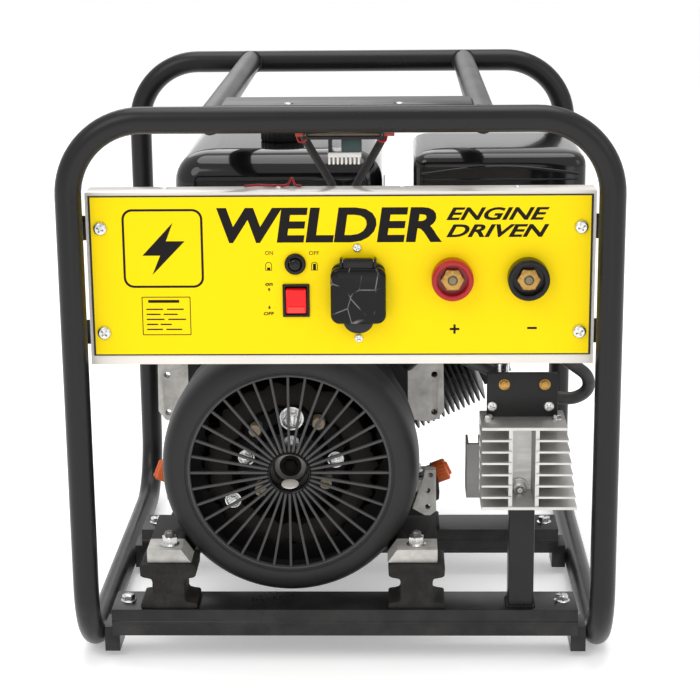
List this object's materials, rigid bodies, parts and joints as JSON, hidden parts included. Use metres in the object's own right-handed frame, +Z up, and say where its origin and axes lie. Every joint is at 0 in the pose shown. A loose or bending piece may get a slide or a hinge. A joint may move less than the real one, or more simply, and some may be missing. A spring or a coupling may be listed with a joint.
{
  "type": "engine driven welder",
  "caption": "Tube framed engine welder: engine and alternator on rubber mounts, flat yellow control panel with outlet, rocker and weld terminals, rectifier stand, recoil starter.",
  "frame": {"origin": "on the ground under the middle of the tube frame", "axes": "+Z up, +Y from the control panel towards the recoil starter, +X to the right seen from the panel"},
  "size_m": [0.54, 0.5564, 0.564],
  "materials": {
    "black_paint": "satin black paint",
    "engine_black": "semi gloss black paint",
    "gloss_black_paint": "gloss black paint",
    "cream_paint": "cream white powder coat",
    "yellow_film": "yellow printed face, satin",
    "zinc": "bright zinc",
    "dark_steel": "dull steel",
    "aluminium": "raw cast and extruded aluminium",
    "brass": "brass and copper",
    "black_plastic": "satin",
    "gloss_black_plastic": "gloss",
    "grey_plastic": "dark grey, matt",
    "red_plastic": "gloss",
    "orange_plastic": "satin",
    "rubber": "matt"
  },
  "bodies": {
    "frame": {"front_tube": "black_paint", "rear_tube": "black_paint", "top_rail_left": "black_paint", "top_rail_right": "black_paint", "channel_front": "black_paint", "channel_middle": "black_paint", "top_strap": "black_paint", "panel_bracket_left": "black_paint", "panel_bracket_right": "black_paint", "rectifier_post": "black_paint", "muffler_guard": "black_paint", "fan_shroud": "black_paint", "recoil_cover": "black_paint", "crankcase": "engine_black", "cylinder": "engine_black", "control_box": "cream_paint", "face_plate": "yellow_film", "panel_screw_1": "zinc", "panel_screw_2": "zinc", "panel_screw_3": "zinc", "panel_screw_4": "zinc", "rocker_bezel": "black_plastic", "breaker_collar": "black_plastic", "outlet_socket": "black_plastic", "insulator_negative": "black_plastic", "terminal_board": "black_plastic", "air_cleaner": "black_plastic", "insulator_positive": "red_plastic", "terminal_positive": "brass", "terminal_negative": "brass", "end_cover": "grey_plastic", "end_bell": "aluminium", "adaptor_plate": "aluminium", "cylinder_head": "aluminium", "carburettor": "aluminium", "heatsink_front": "aluminium", "regulator": "aluminium", "stator": "dark_steel", "muffler": "dark_steel", "heatsink_rear": "dark_steel", "rubber_mount_front_1": "rubber", "rubber_mount_front_2": "rubber", "rubber_mount_rear_1": "rubber", "rubber_mount_rear_2": "rubber", "cable_negative": "rubber", "cable_positive": "rubber", "harness": "rubber", "fuel_tank": "gloss_black_paint"},
    "rocker": {"rocker_paddle": "red_plastic"},
    "breaker": {"breaker_button": "black_plastic"},
    "flap": {"outlet_flap": "gloss_black_plastic"},
    "crank": {"rotor_shaft": "dark_steel", "flywheel": "dark_steel"},
    "starter_pulley": {"recoil_pulley": "grey_plastic"},
    "starter_handle": {"recoil_handle": "black_plastic"},
    "tank_cap": {"fuel_cap": "black_plastic"},
    "oil_cap_left": {"dipstick_left": "orange_plastic"},
    "oil_cap_right": {"dipstick_right": "orange_plastic"},
    "choke": {"choke_lever": "black_plastic"},
    "fuel_tap": {"fuel_tap_lever": "black_plastic"}
  },
  "joints": [
    {"name": "rocker_switch", "type": "hinge", "parent": "frame", "child": "rocker", "pos_m": [-0.043, -0.2545, 0.3757], "axis": [1, 0, 0], "range_deg": [-14, 0]},
    {"name": "breaker_reset", "type": "slide", "parent": "frame", "child": "breaker", "axis": [0, 1, 0], "range_m": [0, 0.003], "stiffness_N_per_m": 300, "springref_m": -0.001},
    {"name": "outlet_lid", "type": "hinge", "parent": "frame", "child": "flap", "pos_m": [0.017, -0.2657, 0.4158], "axis": [-1, 0, 0], "range_deg": [0, 110]},
    {"name": "crank_spin", "type": "hinge", "parent": "frame", "child": "crank", "pos_m": [-0.055, 0, 0.1875], "axis": [0, 1, 0], "continuous": true},
    {"name": "starter_pull", "type": "slide", "parent": "frame", "child": "starter_handle", "axis": [-0.766, 0, 0.6428], "range_m": [0, 0.135], "stiffness_N_per_m": 40, "springref_m": -0.05},
    {"name": "starter_pulley_spin", "type": "hinge", "parent": "frame", "child": "starter_pulley", "pos_m": [-0.055, 0.238, 0.1875], "axis": [0, 1, 0], "range_deg": [-155, 0]},
    {"name": "tank_cap_turn", "type": "hinge", "parent": "frame", "child": "tank_cap", "pos_m": [-0.073, 0.07, 0.494], "axis": [0, 0, 1], "range_deg": [0, 90]},
    {"name": "oil_cap_left_turn", "type": "hinge", "parent": "frame", "child": "oil_cap_left", "pos_m": [-0.2155, 0.0445, 0.105], "axis": [-0.9336, 0, 0.3584], "range_deg": [0, 720]},
    {"name": "oil_cap_right_turn", "type": "hinge", "parent": "frame", "child": "oil_cap_right", "pos_m": [0.1055, 0.0445, 0.105], "axis": [0.9336, 0, 0.3584], "range_deg": [0, 720]},
    {"name": "choke_turn", "type": "hinge", "parent": "frame", "child": "choke", "pos_m": [0.1653, 0.1475, 0.296], "axis": [1, 0, 0], "range_deg": [0, 75]},
    {"name": "fuel_tap_turn", "type": "hinge", "parent": "frame", "child": "fuel_tap", "pos_m": [0.1653, 0.1475, 0.272], "axis": [1, 0, 0], "range_deg": [-90, 0]}
  ],
  "couplings": [
    {"joint": "starter_pulley_spin", "follows": "starter_pull", "rad_per_m": -19.048}
  ]
}
